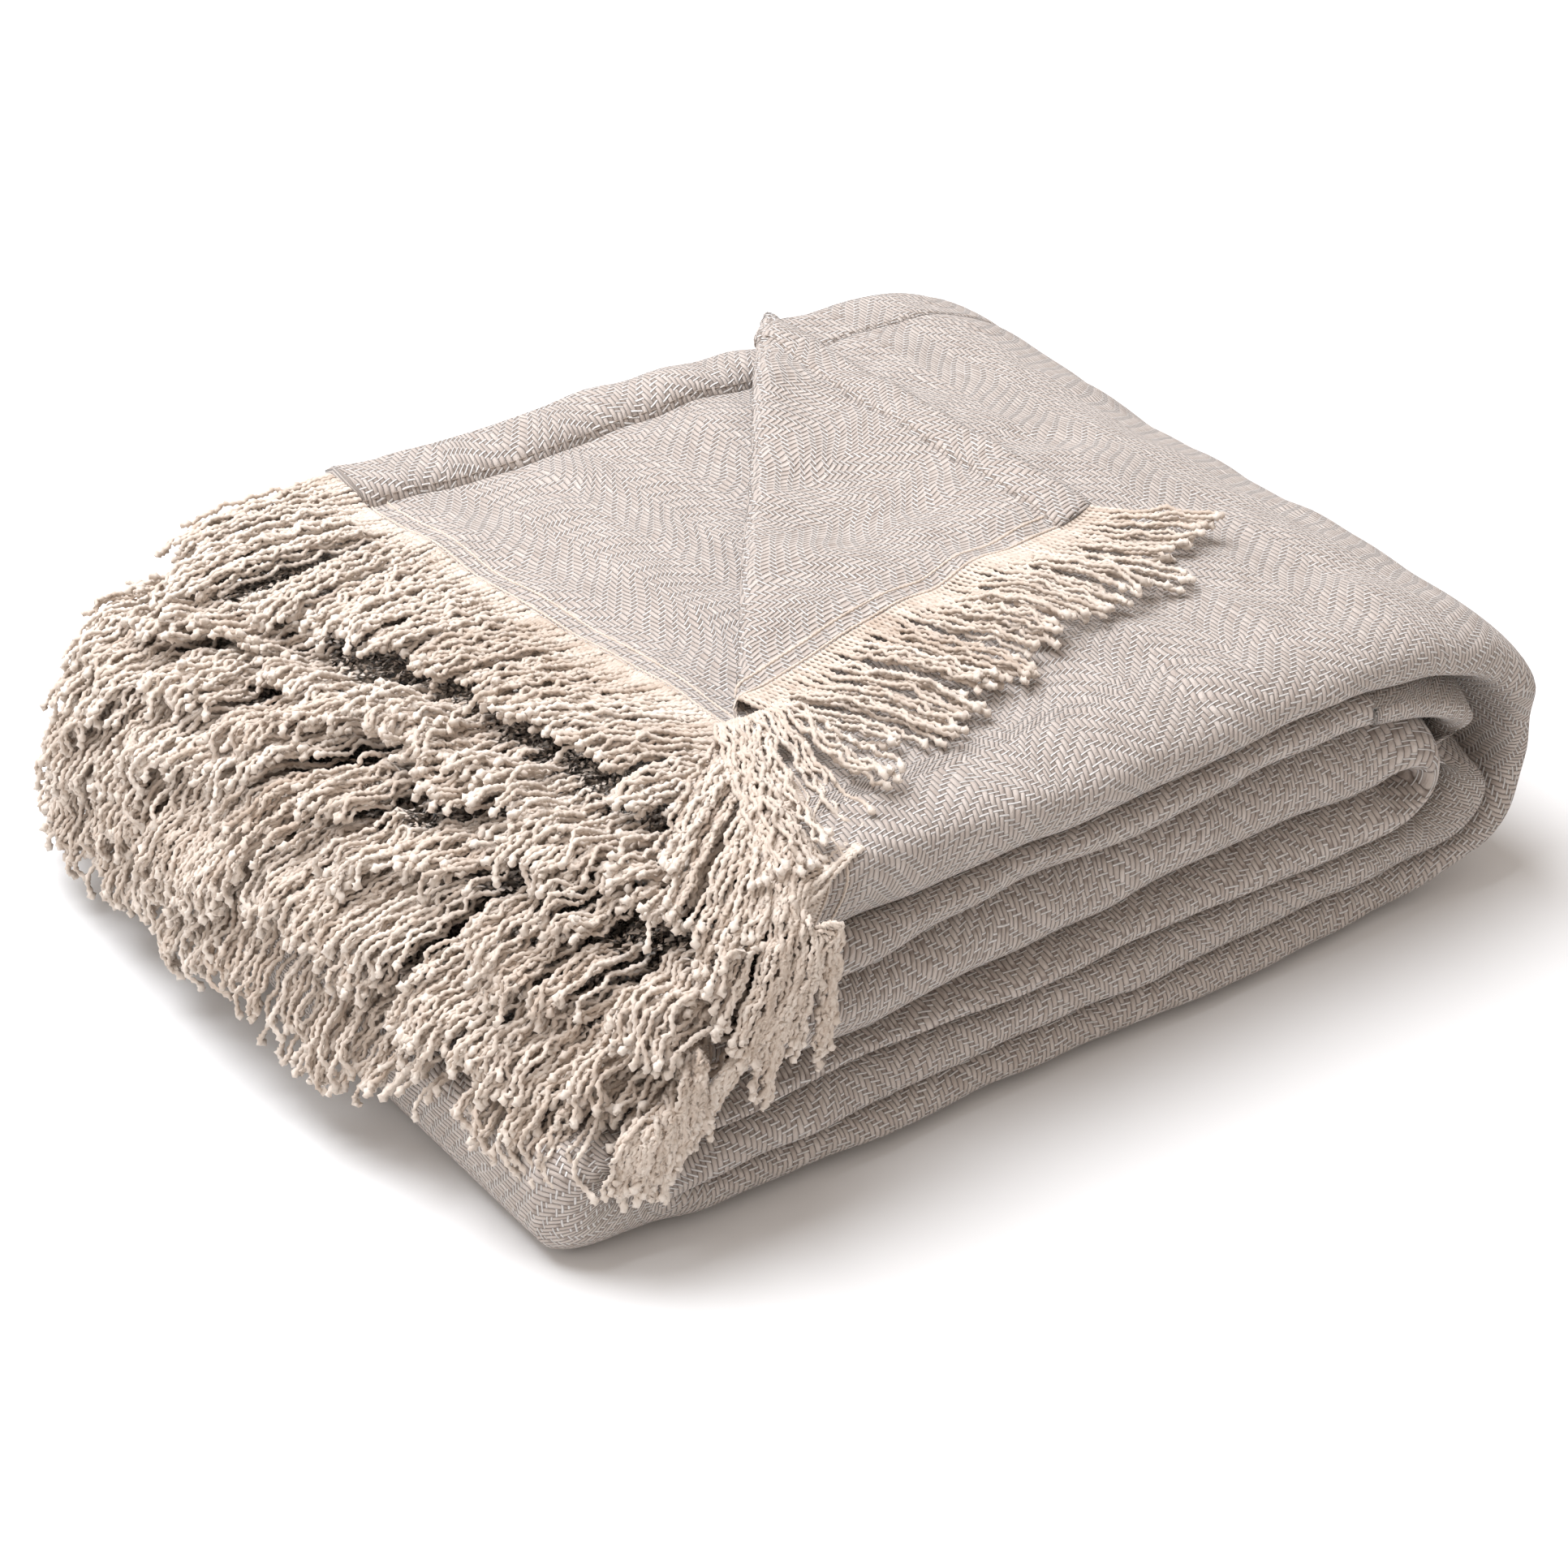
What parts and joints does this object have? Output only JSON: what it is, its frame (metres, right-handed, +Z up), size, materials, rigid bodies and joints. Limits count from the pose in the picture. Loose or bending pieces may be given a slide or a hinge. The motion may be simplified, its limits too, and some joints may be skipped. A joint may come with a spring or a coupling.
{
  "type": "folded throw blanket",
  "caption": "Herringbone woven throw blanket with a long twisted fringe, folded into a flat pack with one corner turned back across the top.",
  "frame": {"origin": "middle of the folded pack's base, fringe included, on the surface it lies on", "axes": "+Z up; +X along the folded strip, towards the wrapped right end and away from the fringe; +Y across the strip, towards the rear edge with the side hem"},
  "size_m": [0.43, 0.3282, 0.1286],
  "materials": {
    "woven_cloth": "matte herringbone weave of taupe and cream slub yarn",
    "fringe_yarn": "matte two-ply twisted slub yarn, cream and beige",
    "header_cord": "matte pale yarn packed tight at the edge of the weave",
    "hem_thread": "dull spun polyester sewing thread, darker than the cloth"
  },
  "bodies": {
    "root": {"outer_layers_wrap": "woven_cloth", "middle_layers_wrap": "woven_cloth", "inner_layers_wrap": "woven_cloth", "core_layers_fold": "woven_cloth", "left_end_outer_turn": "woven_cloth", "left_end_inner_turn": "woven_cloth", "turned_back_corner": "woven_cloth", "rear_side_hem": "woven_cloth", "fringe_row_1": "fringe_yarn", "fringe_row_2": "fringe_yarn", "fringe_row_3": "fringe_yarn", "fringe_row_4": "fringe_yarn", "fringe_row_5": "fringe_yarn", "fringe_row_6": "fringe_yarn", "fringe_row_7": "fringe_yarn", "front_corner_fringe": "fringe_yarn", "corner_fringe": "fringe_yarn", "corner_tassel": "fringe_yarn", "corner_header_cord": "header_cord", "exposed_header_cord": "header_cord", "corner_hem_stitching": "hem_thread", "rear_hem_stitching": "hem_thread"}
  },
  "joints": []
}
